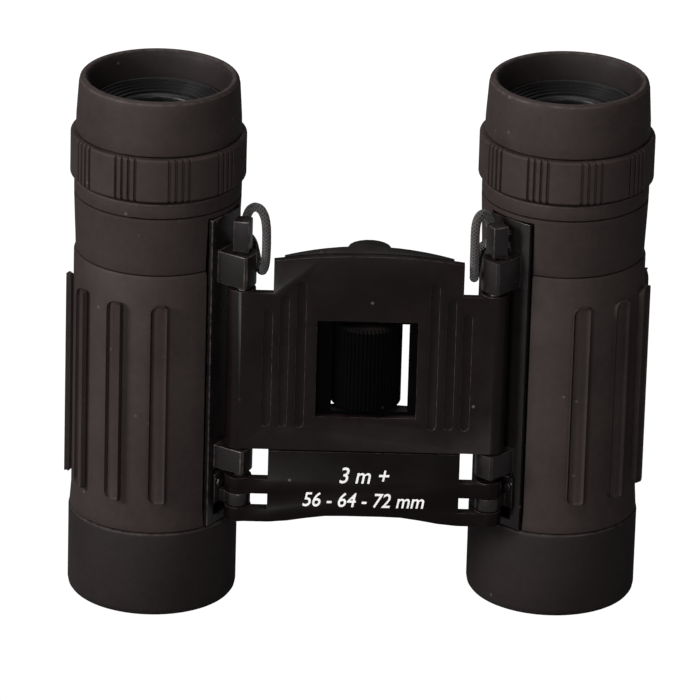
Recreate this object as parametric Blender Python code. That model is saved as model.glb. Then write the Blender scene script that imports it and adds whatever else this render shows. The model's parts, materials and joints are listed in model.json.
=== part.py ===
"""Compact folding binoculars with a double hinge, centre focus and one adjustable eyepiece.

They stand on their two objective caps at z = 0. The origin is halfway between the two barrel axes. X runs
from the left barrel to the right one, and the printed side of the bridge faces -Y. The left barrel is swung
fully open. The right one is folded in by REST_FOLD_RIGHT. Sizes are in millimetres, and a mesh is turned
into metres as it is made.
"""

import math

import bmesh
import bpy
from mathutils import Matrix, Vector

MM = 0.001
GAP = 0.3
OUTER_STEPS = 30
INNER_STEPS = 20
PIN_STEPS = 12
ROUND_STEPS = 6
SHARP_ANGLE = math.radians(35)
CUT_PAST = 1.0
ALL_HEIGHTS = (-1.0, 110.0)

# Bridge and hinges
HINGE_HALF_SPAN = 23.2
HINGE_RADIUS = 18.9
OPEN_ANGLE = math.radians(57.0)
REST_FOLD_RIGHT = math.radians(15.0)
KNUCKLE_RADIUS = 2.6
EDGE_STEP = 0.06
COVER_THICKNESS = 1.5
BRIDGE_BOTTOM = 33.25
SHOULDER_TOP = 64.5
CROWN_CORNER = 70.8
CROWN_TOP = 72.0
CROWN_HALF_WIDTH = 17.4
REAR_HALF_WIDTH = 15.5
REAR_BULGE = 5.3
REAR_FALL = 3.6
BOSS_RADIUS = 3.95
WINDOW_HALF_WIDTH = 9.26
WINDOW_Z = (40.1, 59.2)
REAR_WINDOW_X = (-6.9, 7.75)
UPPER_BOSS_BOTTOM = 58.1
LOWER_BOSS_TOP = 40.7
GROOVE_WIDTH = 1.7
GROOVE_DEPTH = 0.5
GROOVE_BOTTOM = 37.8
GROOVES = ((18.3, 61.0), (15.3, 64.0), (12.2, 67.0))
GUARD_EDGE = -6.35
GUARD_BACK = 2.8
SCREW_X = 11.5
SCREW_HEIGHTS = (37.0, 65.5)
SCREW_HEAD_RADIUS = 1.25
SCREW_HEAD_HEIGHT = 0.6

# Focus
WHEEL_RADIUS = 6.5
WHEEL_CHAMFER = 0.5
WHEEL_Z = (41.3, 57.7)
SHAFT_RADIUS = 1.4
SHAFT_Z = (23.0, 69.5)
PLATE_HALF_WIDTH = 17.7
PLATE_TOP = 32.9
PLATE_THICKNESS = 2.2
PLATE_RECESS = 0.15
PLATE_ARCH = 1.5
PLATE_ARCH_REACH = 20.9
PLATE_ARCH_LEVEL = 5.0
PLATE_ARCH_FALL = 13.0
UPPER_FINGER_Z = (24.15, 27.15)
LOWER_FINGER_Z = (18.5, 21.2)
FINGER_RADIUS = 2.5
NUT_RADIUS = 3.3
NUT_Z = (22.0, 31.5)
WEB_HALF_WIDTH = 1.2
FORK_PIN_RADIUS = 0.95

# Barrels
TUBE_RADIUS = 14.2
TUBE_BORE = 12.8
TUBE_Z = (2.0, 79.0)
SKIN_INNER = TUBE_RADIUS + GAP
ARMOUR_RADIUS = 15.3
ARMOUR_Z = (17.05, 67.9)
RIB_RADIUS = 16.1
RIB_WIDTH = 3.0
RIB_ROOT = 0.6
RIB_Z = (23.2, 62.6)
RIB_COUNT = 6
RIB_FIRST = math.radians(-3.0)
RIB_STEP = math.radians(30.3)
CAP_RADIUS = 15.75
CAP_TOP = 16.75
RING_RADIUS = 16.15
RING_Z = (82.75, 91.0)
RING_BORE = 12.6
RING_GROUPS = 10
GROUP_WIDTH = math.radians(13.0)
GROUP_GROOVES = 4
RING_GROOVE_DEPTH = 0.45
SPINE_Z = (17.1, 78.0)
SPINE_RADII = (14.5, 15.3)
SPINE_HALF_WIDTH = 4.6
LUG_HALF_WIDTH = 2.7
LUG_REACH = 2.6
LUG_ROOT = 14.9
LUG_CHAMFER = 0.4
UPPER_LUG_Z = (65.3, 71.5)
LOWER_LUG_Z = (28.4, 32.9)
POST_WIDTH = 3.0
POST_Z = (71.8, 77.8)
POST_TURN = math.radians(12.0)
POST_RECESS_WIDTH = 2.1
POST_RECESS_FLOOR = -0.1
POST_RECESS_Z = (72.4, 77.1)
ARM_Z = (21.3, 27.4)
ARM_RADII = (12.7, 15.8)
ARM_HALF_WIDTH = 2.1
PAD_Z = (21.4, 27.3)
PAD_RADII = (15.6, 16.0)
PAD_SIDES = (-2.3, 3.3)
TONGUE_Z = (21.5, 23.85)
TONGUE_START = 15.7
TONGUE_HALF_WIDTH = 1.6
TONGUE_EYE_RADIUS = 2.4
ARM_SCREW_RADIUS = 0.75
ARM_SCREW_HEIGHT = 0.35
ARM_SCREW_PLACE = (16.3, 2.4, 25.6)
SLOT_Z = (18.5, 27.8)
SLOT_HALF_WIDTH = 2.5
CUT_RADII = (10.0, 22.0)
SPINE_SIDE_GAP = 0.4
HINGE_PIN_RADIUS = 1.1
PIN_INSET = 0.2
CORD_RADIUS = 0.85
CORD_POINTS_PER_LEG = 2
PRISM_WIDTH = 14.0

BRIDGE_X = (HINGE_RADIUS * (math.sin(OPEN_ANGLE) - math.sin(OPEN_ANGLE - REST_FOLD_RIGHT))) / 2
HINGE_Y = -HINGE_RADIUS * (math.cos(OPEN_ANGLE) + math.cos(OPEN_ANGLE - REST_FOLD_RIGHT)) / 2
FRONT_Y = HINGE_Y - KNUCKLE_RADIUS
SHAFT_Y = FRONT_Y + REAR_BULGE

# Outlines turned about a barrel's axis, as radius and height
ARMOUR_PROFILE = (
    (SKIN_INNER, ARMOUR_Z[0]),
    (ARMOUR_RADIUS + 0.25, ARMOUR_Z[0]),
    (ARMOUR_RADIUS, ARMOUR_Z[0] + 3.0),
    (ARMOUR_RADIUS, ARMOUR_Z[1] - 0.4),
    (ARMOUR_RADIUS - 0.3, ARMOUR_Z[1]),
    (SKIN_INNER, ARMOUR_Z[1]),
)
NECK_PROFILE = (
    (SKIN_INNER, 68.2),
    (15.0, 68.2),
    (15.05, 70.0),
    (15.38, 78.4),
    (15.38, 79.1),
    (SKIN_INNER, 79.1),
)
SEAT_PROFILE = ((12.9, 79.4), (15.4, 79.4), (15.4, 82.15), (12.9, 82.15))
EYECUP_PROFILE = (
    (12.6, 91.35),
    (15.2, 91.35),
    (15.15, 94.0),
    (14.75, 100.2),
    (14.45, 101.3),
    (13.8, 101.6),
    (13.1, 101.3),
    (12.8, 100.6),
    (12.6, 97.0),
)
HOUSING_PROFILE = (
    (12.3, 83.2),
    (12.3, 96.4),
    (11.9, 96.7),
    (9.8, 95.4),
    (8.6, 95.3),
    (8.6, 93.2),
    (7.6, 93.2),
    (7.6, 86.4),
    (10.6, 86.4),
    (10.6, 83.2),
)
EYE_RETAINER_PROFILE = ((6.9, 93.5), (8.3, 93.5), (8.3, 95.1), (7.4, 95.1), (6.9, 94.6))
EYE_LENS_PROFILE = ((0, 90.0), (6.2, 90.2), (7.3, 90.8), (7.3, 93.2), (6.2, 93.6), (3.4, 94.1), (0, 94.3))
FIELD_LENS_PROFILE = ((0, 83.4), (6.0, 83.6), (10.3, 84.3), (10.3, 86.1), (0, 86.1))
PRISM_SEAT_PROFILE = ((7.5, 40.0), (12.5, 40.0), (12.5, 43.0), (7.5, 43.0))
SLEEVE_PROFILE = (
    (11.0, 8.0),
    (12.4, 8.0),
    (12.4, 24.5),
    (11.0, 24.5),
    (11.0, 14.3),
    (10.0, 14.3),
    (10.0, 13.3),
    (11.0, 13.3),
)
OBJECTIVE_PROFILE = ((0, 8.9), (5.5, 9.2), (10.6, 10.2), (10.6, 12.6), (0, 12.9))
OBJECTIVE_RETAINER_PROFILE = ((9.9, 8.1), (10.7, 8.1), (10.7, 9.7), (9.9, 9.5))
CAP_PROFILE = (
    (12.4, 0.0),
    (14.9, 0.0),
    (15.5, 0.4),
    (CAP_RADIUS, 1.3),
    (CAP_RADIUS, CAP_TOP - 0.6),
    (CAP_RADIUS - 0.3, CAP_TOP),
    (SKIN_INNER, CAP_TOP),
    (SKIN_INNER, 1.7),
    (11.8, 1.7),
    (11.8, 0.6),
)

# Outlines of the prisms from the side
HALF_PENTA_OUTLINE = ((-8.0, 43.4), (8.0, 43.4), (8.0, 50.0), (-8.0, 57.2))
SCHMIDT_OUTLINE = ((-8.0, 58.2), (8.0, 51.0), (9.5, 59.0), (0.0, 67.0))

# Each strap loop's centre line from the hinge axis: inwards, back and up.
STRAP_ROUTE = (
    (0.25, 0.9, 75.4),
    (0.3, 2.0, 75.8),
    (0.5, 2.9, 76.9),
    (1.0, 3.2, 78.2),
    (1.9, 2.8, 79.1),
    (3.0, 1.9, 79.1),
    (3.8, 1.0, 78.1),
    (4.2, 0.2, 76.4),
    (4.3, -0.2, 74.2),
    (4.3, -0.2, 71.8),
    (4.2, 0.0, 69.6),
    (3.95, 0.7, 68.0),
    (3.6, 1.9, 67.0),
    (3.1, 3.2, 67.1),
    (2.6, 4.1, 68.3),
    (2.2, 4.5, 70.0),
    (1.7, 4.2, 71.8),
    (1.0, 3.2, 73.0),
    (0.25, 0.9, 73.4),
)


def clear_scene():
    for obj in list(bpy.data.objects):
        bpy.data.objects.remove(obj, do_unlink=True)


def material(name, colour, roughness, metallic=0.0, transmission=0.0):
    made = bpy.data.materials.new(name)
    made.use_nodes = True
    shader = made.node_tree.nodes["Principled BSDF"]
    shader.inputs["Base Color"].default_value = (*colour, 1.0)
    shader.inputs["Roughness"].default_value = roughness
    shader.inputs["Metallic"].default_value = metallic
    shader.inputs["Transmission Weight"].default_value = transmission
    return made


def turned(profile, steps=OUTER_STEPS):
    """A solid turned about Z. A closed profile clear of the axis makes a ring."""
    made = bmesh.new()
    rings = []
    for radius, height in profile:
        if radius == 0:
            rings.append([made.verts.new((0, 0, height))])
            continue
        turns = (2 * math.pi * step / steps for step in range(steps))
        rings.append([made.verts.new((radius * math.cos(a), radius * math.sin(a), height)) for a in turns])
    pairs = list(zip(rings, rings[1:]))
    if all(radius for radius, _ in profile):
        pairs.append((rings[-1], rings[0]))
    for low, high in pairs:
        for step in range(steps):
            after = (step + 1) % steps
            below = [low[step % len(low)], low[after % len(low)]]
            above = [high[after % len(high)], high[step % len(high)]]
            made.faces.new(list(dict.fromkeys(below + above)))
    return made


def rod(radius, heights, steps=PIN_STEPS, centre=(0, 0)):
    low, high = heights
    made = turned([(0, low), (radius, low), (radius, high), (0, high)], steps)
    bmesh.ops.translate(made, verts=made.verts, vec=(*centre, 0))
    return made


def extruded(outline, low, high):
    """A solid with the outline in X and Y, from z = low to z = high."""
    made = bmesh.new()
    below = [made.verts.new((x, y, low)) for x, y in outline]
    above = [made.verts.new((x, y, high)) for x, y in outline]
    made.faces.new(below)
    made.faces.new(above)
    for index in range(len(outline)):
        after = (index + 1) % len(outline)
        made.faces.new((below[index], below[after], above[after], above[index]))
    return made


def box(x_range, y_range, z_range):
    (x0, x1), (y0, y1) = x_range, y_range
    return extruded([(x0, y0), (x1, y0), (x1, y1), (x0, y1)], *z_range)


def facing_front(shape, front, back):
    """Turns a shape drawn in X and Y, from z = 0 to z = 1, to X and Z with its depth from front to back."""
    for vert in shape.verts:
        x, y, depth = vert.co
        vert.co = (x, front + depth * (back - front), y)
    return shape


def stadium(width, low, high, centre=0.0):
    """The outline of an upright slot with round ends."""
    radius = width / 2
    points = []
    for middle, start in ((high - radius, 0.0), (low + radius, math.pi)):
        for step in range(ROUND_STEPS + 1):
            turn = start + math.pi * step / ROUND_STEPS
            points.append((centre + radius * math.cos(turn), middle + radius * math.sin(turn)))
    return points


def make(name, shape, look, parent, place=None):
    """One object from a shape in millimetres, its normals out and its round faces smooth."""
    if place is not None:
        bmesh.ops.transform(shape, matrix=place, verts=shape.verts)
    bmesh.ops.scale(shape, vec=(MM, MM, MM), verts=shape.verts)
    bmesh.ops.recalc_face_normals(shape, faces=shape.faces)
    mesh = bpy.data.meshes.new(name)
    shape.to_mesh(mesh)
    shape.free()
    mesh.shade_smooth()
    mesh.set_sharp_from_angle(angle=SHARP_ANGLE)
    obj = bpy.data.objects.new(name, mesh)
    bpy.context.collection.objects.link(obj)
    obj.parent = parent
    if look is not None:
        mesh.materials.append(look)
    return obj


def combine(obj, shape, operation, place=None):
    """Adds a Boolean with a hidden helper made from the shape."""
    helper = make(f"{obj.name}_{operation.lower()}_{len(obj.modifiers)}", shape, None, obj.parent, place)
    helper.hide_render = True
    helper.display_type = "WIRE"
    step = obj.modifiers.new(operation.title(), "BOOLEAN")
    step.operation = operation
    step.object = helper
    step.solver = "EXACT"


def empty(name, location, turn=0.0, parent=None):
    made = bpy.data.objects.new(name, None)
    bpy.context.collection.objects.link(made)
    made.parent = parent
    made.location = Vector(location) * MM
    made.rotation_euler.z = turn
    return made


class Side:
    """One barrel: its name's ending, which way is inwards, its hinge and its frame."""

    def __init__(self, ending, inwards, fold):
        self.ending = ending
        self.inwards = inwards
        hinge_x = BRIDGE_X - inwards * HINGE_HALF_SPAN
        self.hinge = empty(f"hinge_{ending}", (hinge_x, HINGE_Y, 0), -inwards * fold)
        axis = (-inwards * HINGE_RADIUS * math.sin(OPEN_ANGLE), HINGE_RADIUS * math.cos(OPEN_ANGLE), 0)
        self.axis = empty(f"barrel_{ending}", axis, 0.0, self.hinge)

    def name(self, part):
        return f"{part}_{self.ending}"

    def towards_hinge(self, turn=0.0, radius=0.0):
        """The place whose X points from the barrel axis to the hinge and whose Y points round to the front."""
        angle = OPEN_ANGLE + turn
        out = Vector((self.inwards * math.sin(angle), -math.cos(angle), 0))
        across = Vector((-self.inwards * math.cos(angle), -math.sin(angle), 0))
        place = Matrix((out, across, Vector((0, 0, 1)))).transposed().to_4x4()
        place.translation = out * radius
        return place

    def outwards(self, angle):
        """The same kind of place, for an angle from the front towards the outer side."""
        return self.towards_hinge(-OPEN_ANGLE - angle)


# Bridge


def arch(half_width):
    """The bridge's arched top, from right to left."""
    points = []
    for step in range(2 * ROUND_STEPS + 1):
        x = half_width * (1 - step / ROUND_STEPS)
        points.append((x, CROWN_TOP - (CROWN_TOP - CROWN_CORNER) * (x / CROWN_HALF_WIDTH) ** 2))
    return points


def cover_outline():
    """The front cover: an arched middle between two lower shoulders that end at the hinge columns."""
    low = BRIDGE_BOTTOM + EDGE_STEP
    shoulder = SHOULDER_TOP - EDGE_STEP
    right = [(HINGE_HALF_SPAN, low), (HINGE_HALF_SPAN, shoulder), (CROWN_HALF_WIDTH, shoulder)]
    left = [(-x, z) for x, z in reversed(right)]
    return right + arch(CROWN_HALF_WIDTH) + left


def make_front_cover(look, centre):
    shape = facing_front(extruded(cover_outline(), 0, 1), FRONT_Y, FRONT_Y + COVER_THICKNESS)
    cover = make("bridge_front_cover", shape, look, centre)
    for side in (-1, 1):
        column = rod(KNUCKLE_RADIUS, (BRIDGE_BOTTOM, SHOULDER_TOP), INNER_STEPS, (side * HINGE_HALF_SPAN, HINGE_Y))
        combine(cover, column, "UNION")
        bore = rod(HINGE_PIN_RADIUS + GAP, ALL_HEIGHTS, PIN_STEPS, (side * HINGE_HALF_SPAN, HINGE_Y))
        combine(cover, bore, "DIFFERENCE")
        for across, top in GROOVES:
            groove = extruded(stadium(GROOVE_WIDTH, GROOVE_BOTTOM, top, side * across), 0, 1)
            combine(cover, facing_front(groove, FRONT_Y - CUT_PAST, FRONT_Y + GROOVE_DEPTH), "DIFFERENCE")
    through = (FRONT_Y - CUT_PAST, FRONT_Y + 2 * COVER_THICKNESS)
    window = box((-WINDOW_HALF_WIDTH, WINDOW_HALF_WIDTH), through, WINDOW_Z)
    combine(cover, window, "DIFFERENCE")


def rear_surface(x):
    """How far back the rear cover reaches at this distance from its middle."""
    return FRONT_Y + REAR_BULGE - REAR_FALL * (x / CROWN_HALF_WIDTH) ** 2


def rear_plan():
    """The rear cover seen from above: flat towards the front, bulging behind."""
    front = FRONT_Y + COVER_THICKNESS + GAP
    points = [(-REAR_HALF_WIDTH, front), (REAR_HALF_WIDTH, front)]
    for step in range(2 * ROUND_STEPS + 1):
        x = REAR_HALF_WIDTH * (1 - step / ROUND_STEPS)
        points.append((x, rear_surface(x)))
    return points


def boss_plan():
    """A round boss about the shaft, flat where it meets the front cover."""
    points = []
    for step in range(INNER_STEPS):
        turn = 2 * math.pi * (step + 0.5) / INNER_STEPS
        y = SHAFT_Y + BOSS_RADIUS * math.sin(turn)
        points.append((BOSS_RADIUS * math.cos(turn), max(y, FRONT_Y + COVER_THICKNESS + 2 * GAP)))
    return points


def cut_rear_window(cover):
    """The wheel's window in the rear cover, with a guard lip along the wheel's left side."""
    left, right = REAR_WINDOW_X
    heights = (LOWER_BOSS_TOP, UPPER_BOSS_BOTTOM)
    lip_back = FRONT_Y + GUARD_BACK
    combine(cover, box((left, right), (lip_back, FRONT_Y + 2 * REAR_BULGE), heights), "DIFFERENCE")
    combine(cover, box((GUARD_EDGE, right), (FRONT_Y, lip_back + EDGE_STEP), heights), "DIFFERENCE")


def make_cover_screws(cover, look, centre):
    places = [(side * SCREW_X, height) for side in (-1, 1) for height in SCREW_HEIGHTS]
    for index, place in enumerate(places):
        behind = rear_surface(SCREW_X)
        seat = rod(SCREW_HEAD_RADIUS + GAP, (0, 1), PIN_STEPS, place)
        bottom = behind - SCREW_HEAD_HEIGHT - GAP
        combine(cover, facing_front(seat, bottom, behind + 2 * CUT_PAST), "DIFFERENCE")
        head = rod(SCREW_HEAD_RADIUS, (0, 1), PIN_STEPS, place)
        head = facing_front(head, behind - SCREW_HEAD_HEIGHT, behind)
        make(f"cover_screw_{index + 1}", head, look, centre)


def make_rear_cover(look, screw_look, centre):
    low = BRIDGE_BOTTOM + GAP
    cover = make("bridge_rear_cover", extruded(rear_plan(), low, CROWN_TOP + CUT_PAST), look, centre)
    reach = REAR_HALF_WIDTH + CUT_PAST
    under_arch = [(-reach, 0), (reach, 0), *arch(reach)]
    combine(cover, facing_front(extruded(under_arch, 0, 1), FRONT_Y, FRONT_Y + 2 * REAR_BULGE), "INTERSECT")
    for boss_z in ((low, LOWER_BOSS_TOP), (UPPER_BOSS_BOTTOM, CROWN_TOP - GAP)):
        combine(cover, extruded(boss_plan(), *boss_z), "UNION")
    cut_rear_window(cover)
    bore = rod(SHAFT_RADIUS + GAP, (0, SHAFT_Z[1] + GAP), PIN_STEPS, (0, SHAFT_Y))
    combine(cover, bore, "DIFFERENCE")
    make_cover_screws(cover, screw_look, centre)


# Focus


def make_wheel(look, centre):
    bore = SHAFT_RADIUS + GAP
    low, high = WHEEL_Z
    rim = WHEEL_RADIUS - WHEEL_CHAMFER
    wheel = turned(
        [
            (bore, low),
            (rim, low),
            (WHEEL_RADIUS, low + WHEEL_CHAMFER),
            (WHEEL_RADIUS, high - WHEEL_CHAMFER),
            (rim, high),
            (bore, high),
        ]
    )
    make("focus_wheel", wheel, look, centre, Matrix.Translation((0, SHAFT_Y, 0)))


def make_shaft(look, centre):
    make("focus_shaft", rod(SHAFT_RADIUS, SHAFT_Z, PIN_STEPS, (0, SHAFT_Y)), look, centre)


def plate_outline():
    """The focus plate from the front: an arched lower edge and two fingers on each side."""
    tip = HINGE_HALF_SPAN
    lower, upper = (
        (low + EDGE_STEP, high - EDGE_STEP) for low, high in (LOWER_FINGER_Z, UPPER_FINGER_Z)
    )
    right = [(tip, lower[0]), (tip, lower[1]), (PLATE_HALF_WIDTH, lower[1]), (PLATE_HALF_WIDTH, upper[0])]
    right += [(tip, upper[0]), (tip, upper[1]), (PLATE_HALF_WIDTH, upper[1]), (PLATE_HALF_WIDTH, PLATE_TOP)]
    left = [(-x, z) for x, z in reversed(right)]
    lower_edge = []
    for step in range(2 * ROUND_STEPS + 1):
        x = PLATE_ARCH_REACH * (step / ROUND_STEPS - 1)
        fall = min(1.0, max(0.0, (abs(x) - PLATE_ARCH_LEVEL) / PLATE_ARCH_FALL))
        lower_edge.append((x, lower[0] + PLATE_ARCH * (1 + math.cos(math.pi * fall)) / 2))
    return right + left + lower_edge


def make_plate(look, centre):
    front = FRONT_Y + PLATE_RECESS
    shape = facing_front(extruded(plate_outline(), 0, 1), front, front + PLATE_THICKNESS)
    plate = make("focus_plate", shape, look, centre)
    for side in (-1, 1):
        middle = (side * HINGE_HALF_SPAN, HINGE_Y)
        for heights in (UPPER_FINGER_Z, LOWER_FINGER_Z):
            combine(plate, rod(FINGER_RADIUS, heights, INNER_STEPS, middle), "UNION")
        combine(plate, rod(FORK_PIN_RADIUS + GAP, ALL_HEIGHTS, PIN_STEPS, middle), "DIFFERENCE")
    combine(plate, rod(NUT_RADIUS, NUT_Z, INNER_STEPS, (0, SHAFT_Y)), "UNION")
    web = box((-WEB_HALF_WIDTH, WEB_HALF_WIDTH), (front + CUT_PAST, SHAFT_Y), NUT_Z)
    combine(plate, web, "UNION")
    combine(plate, rod(SHAFT_RADIUS + GAP, ALL_HEIGHTS, PIN_STEPS, (0, SHAFT_Y)), "DIFFERENCE")


def make_fork_pins(look, centre):
    for ending, side in (("left", -1), ("right", 1)):
        heights = (LOWER_FINGER_Z[0] + GAP, UPPER_FINGER_Z[1] - GAP)
        pin = rod(FORK_PIN_RADIUS, heights, PIN_STEPS, (side * HINGE_HALF_SPAN, HINGE_Y))
        make(f"fork_pin_{ending}", pin, look, centre)


# Barrels


def slot_shape():
    return box(CUT_RADII, (-SLOT_HALF_WIDTH, SLOT_HALF_WIDTH), SLOT_Z)


def spine_clearance():
    half = SPINE_HALF_WIDTH + SPINE_SIDE_GAP
    return box(CUT_RADII, (-half, half), (0, SPINE_Z[1] + GAP))


def make_tube(side, look):
    low, high = TUBE_Z
    shape = turned([(TUBE_BORE, low), (TUBE_RADIUS, low), (TUBE_RADIUS, high), (TUBE_BORE, high)])
    tube = make(side.name("barrel_tube"), shape, look, side.axis)
    combine(tube, slot_shape(), "DIFFERENCE", side.towards_hinge())


def rib():
    """One raised rib, drawn with X out from the barrel axis and Y round it."""
    shape = extruded(stadium(RIB_WIDTH, *RIB_Z), 0, 1)
    for vert in shape.verts:
        round_, height, depth = vert.co
        root = ARMOUR_RADIUS - RIB_ROOT
        vert.co = (root + depth * (RIB_RADIUS - root), round_, height)
    return shape


def make_armour(side, look):
    armour = make(side.name("armour"), turned(ARMOUR_PROFILE), look, side.axis)
    for index in range(RIB_COUNT):
        combine(armour, rib(), "UNION", side.outwards(RIB_FIRST + index * RIB_STEP))
    combine(armour, spine_clearance(), "DIFFERENCE", side.towards_hinge())


def make_neck(side, look):
    neck = make(side.name("neck_band"), turned(NECK_PROFILE), look, side.axis)
    combine(neck, spine_clearance(), "DIFFERENCE", side.towards_hinge())


def make_seat_band(side, look):
    make(side.name("seat_band"), turned(SEAT_PROFILE), look, side.axis)


def ring_outline():
    """The ring from above, with groups of narrow grooves."""
    points = []
    cell = GROUP_WIDTH / (2 * GROUP_GROOVES - 1)
    for group in range(RING_GROUPS):
        start = 2 * math.pi * group / RING_GROUPS - GROUP_WIDTH / 2
        for groove in range(GROUP_GROOVES):
            left = start + 2 * groove * cell
            for angle, radius in (
                (left, RING_RADIUS),
                (left, RING_RADIUS - RING_GROOVE_DEPTH),
                (left + cell, RING_RADIUS - RING_GROOVE_DEPTH),
                (left + cell, RING_RADIUS),
            ):
                points.append((radius * math.cos(angle), radius * math.sin(angle)))
        plain = 2 * math.pi / RING_GROUPS - GROUP_WIDTH
        for part in (1, 2):
            angle = start + GROUP_WIDTH + plain * part / 3
            points.append((RING_RADIUS * math.cos(angle), RING_RADIUS * math.sin(angle)))
    return points


def make_ring(side, look):
    ring = make(side.name("grip_ring"), extruded(ring_outline(), *RING_Z), look, side.axis)
    combine(ring, rod(RING_BORE, ALL_HEIGHTS, OUTER_STEPS), "DIFFERENCE")


def make_eyecup(side, look):
    make(side.name("eyecup"), turned(EYECUP_PROFILE), look, side.axis)


def make_eyepiece(side, looks):
    black, glass = looks["black"], looks["glass"]
    for part, profile, look in (
        ("eyepiece_housing", HOUSING_PROFILE, black),
        ("eye_lens_retainer", EYE_RETAINER_PROFILE, black),
        ("eye_lens", EYE_LENS_PROFILE, glass),
        ("field_lens", FIELD_LENS_PROFILE, glass),
    ):
        make(side.name(part), turned(profile, INNER_STEPS), look, side.axis)


def make_prisms(side, looks):
    """A half penta prism and a Schmidt roof prism above their seat ring."""
    make(side.name("prism_seat"), turned(PRISM_SEAT_PROFILE, INNER_STEPS), looks["alloy"], side.axis)
    upright = Matrix.Translation((0, PRISM_WIDTH / 2, 0)) @ Matrix.Rotation(math.pi / 2, 4, "X")
    for part, outline in (("half_penta_prism", HALF_PENTA_OUTLINE), ("roof_prism", SCHMIDT_OUTLINE)):
        make(side.name(part), extruded(outline, 0, PRISM_WIDTH), looks["glass"], side.axis, upright)


def make_objective(side, looks):
    for part, profile, look in (
        ("objective_sleeve", SLEEVE_PROFILE, looks["alloy"]),
        ("objective_lens", OBJECTIVE_PROFILE, looks["glass"]),
        ("objective_retainer", OBJECTIVE_RETAINER_PROFILE, looks["black"]),
    ):
        make(side.name(part), turned(profile, INNER_STEPS), look, side.axis)


def make_cap(side, look):
    make(side.name("objective_cap"), turned(CAP_PROFILE), look, side.axis)


def tongue_outline():
    """The focus arm's tongue from above: a bar with a round eye on the hinge axis."""
    half, eye = TONGUE_HALF_WIDTH, TONGUE_EYE_RADIUS
    points = [(TONGUE_START, half), (TONGUE_START, -half)]
    meet = math.pi - math.asin(half / eye)
    for step in range(2 * ROUND_STEPS + 1):
        turn = meet * (step / ROUND_STEPS - 1)
        points.append((HINGE_RADIUS + eye * math.cos(turn), eye * math.sin(turn)))
    return points


def make_focus_arm(side, looks):
    """The arm from the objective sleeve out through the slot to the focus plate's fork."""
    place = side.towards_hinge()
    block = box(ARM_RADII, (-ARM_HALF_WIDTH, ARM_HALF_WIDTH), ARM_Z)
    arm = make(side.name("focus_arm"), block, looks["gloss"], side.axis, place)
    combine(arm, box(PAD_RADII, PAD_SIDES, PAD_Z), "UNION", place)
    combine(arm, extruded(tongue_outline(), *TONGUE_Z), "UNION", place)
    bore = rod(FORK_PIN_RADIUS + GAP, ALL_HEIGHTS, PIN_STEPS, (HINGE_RADIUS, 0))
    combine(arm, bore, "DIFFERENCE", place)
    screw = rod(ARM_SCREW_RADIUS, (0, ARM_SCREW_HEIGHT), PIN_STEPS)
    lying = place @ Matrix.Translation(ARM_SCREW_PLACE) @ Matrix.Rotation(math.pi / 2, 4, "Y")
    make(side.name("arm_screw"), screw, looks["steel"], side.axis, lying)


def lug_outline():
    """A lug from above: square at the front, round at the back where the strap loop passes."""
    end = HINGE_RADIUS + LUG_REACH
    points = [(LUG_ROOT, LUG_HALF_WIDTH), (LUG_ROOT, -LUG_HALF_WIDTH)]
    for step in range(ROUND_STEPS + 1):
        turn = -math.pi / 2 * (1 - step / ROUND_STEPS)
        points.append((HINGE_RADIUS + LUG_REACH * math.cos(turn), LUG_HALF_WIDTH * math.sin(turn)))
    points += [(end, LUG_HALF_WIDTH - LUG_CHAMFER), (end - LUG_CHAMFER, LUG_HALF_WIDTH)]
    return points


def make_spine(side, look):
    """The part of a barrel that carries both its hinge lugs."""
    place = side.towards_hinge()
    shape = box(SPINE_RADII, (-SPINE_HALF_WIDTH, SPINE_HALF_WIDTH), SPINE_Z)
    spine = make(side.name("hinge_spine"), shape, look, side.axis, place)
    for heights in (UPPER_LUG_Z, LOWER_LUG_Z):
        combine(spine, extruded(lug_outline(), *heights), "UNION", place)
    bore = rod(HINGE_PIN_RADIUS + GAP, ALL_HEIGHTS, PIN_STEPS, (HINGE_RADIUS, 0))
    combine(spine, bore, "DIFFERENCE", place)
    combine(spine, slot_shape(), "DIFFERENCE", place)


def make_hinge_pin(side, look):
    heights = (LOWER_LUG_Z[0] + PIN_INSET, UPPER_LUG_Z[1] - PIN_INSET)
    make(side.name("hinge_pin"), rod(HINGE_PIN_RADIUS, heights), look, side.hinge)


def make_strap_post(side, look):
    """The square post above the upper lug, with a recess behind for the ends of its loop."""
    half = POST_WIDTH / 2
    turn = Matrix.Rotation(side.inwards * -POST_TURN, 4, "Z")
    post = make(side.name("strap_post"), box((-half, half), (-half, half), POST_Z), look, side.hinge, turn)
    across = POST_RECESS_WIDTH / 2
    recess = box((-across, across), (POST_RECESS_FLOOR, half + CUT_PAST), POST_RECESS_Z)
    combine(post, recess, "DIFFERENCE", turn)


def smooth_route(points, per_leg):
    """Points along a smooth curve through the given ones."""
    ends = [points[0] * 2 - points[1], *points, points[-1] * 2 - points[-2]]
    route = []
    for before, start, stop, after in zip(ends, ends[1:], ends[2:], ends[3:]):
        for step in range(per_leg):
            t = step / per_leg
            route.append(
                0.5
                * (
                    2 * start
                    + (stop - before) * t
                    + (2 * before - 5 * start + 4 * stop - after) * t**2
                    + (3 * start - before - 3 * stop + after) * t**3
                )
            )
    return [*route, points[-1]]


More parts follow.
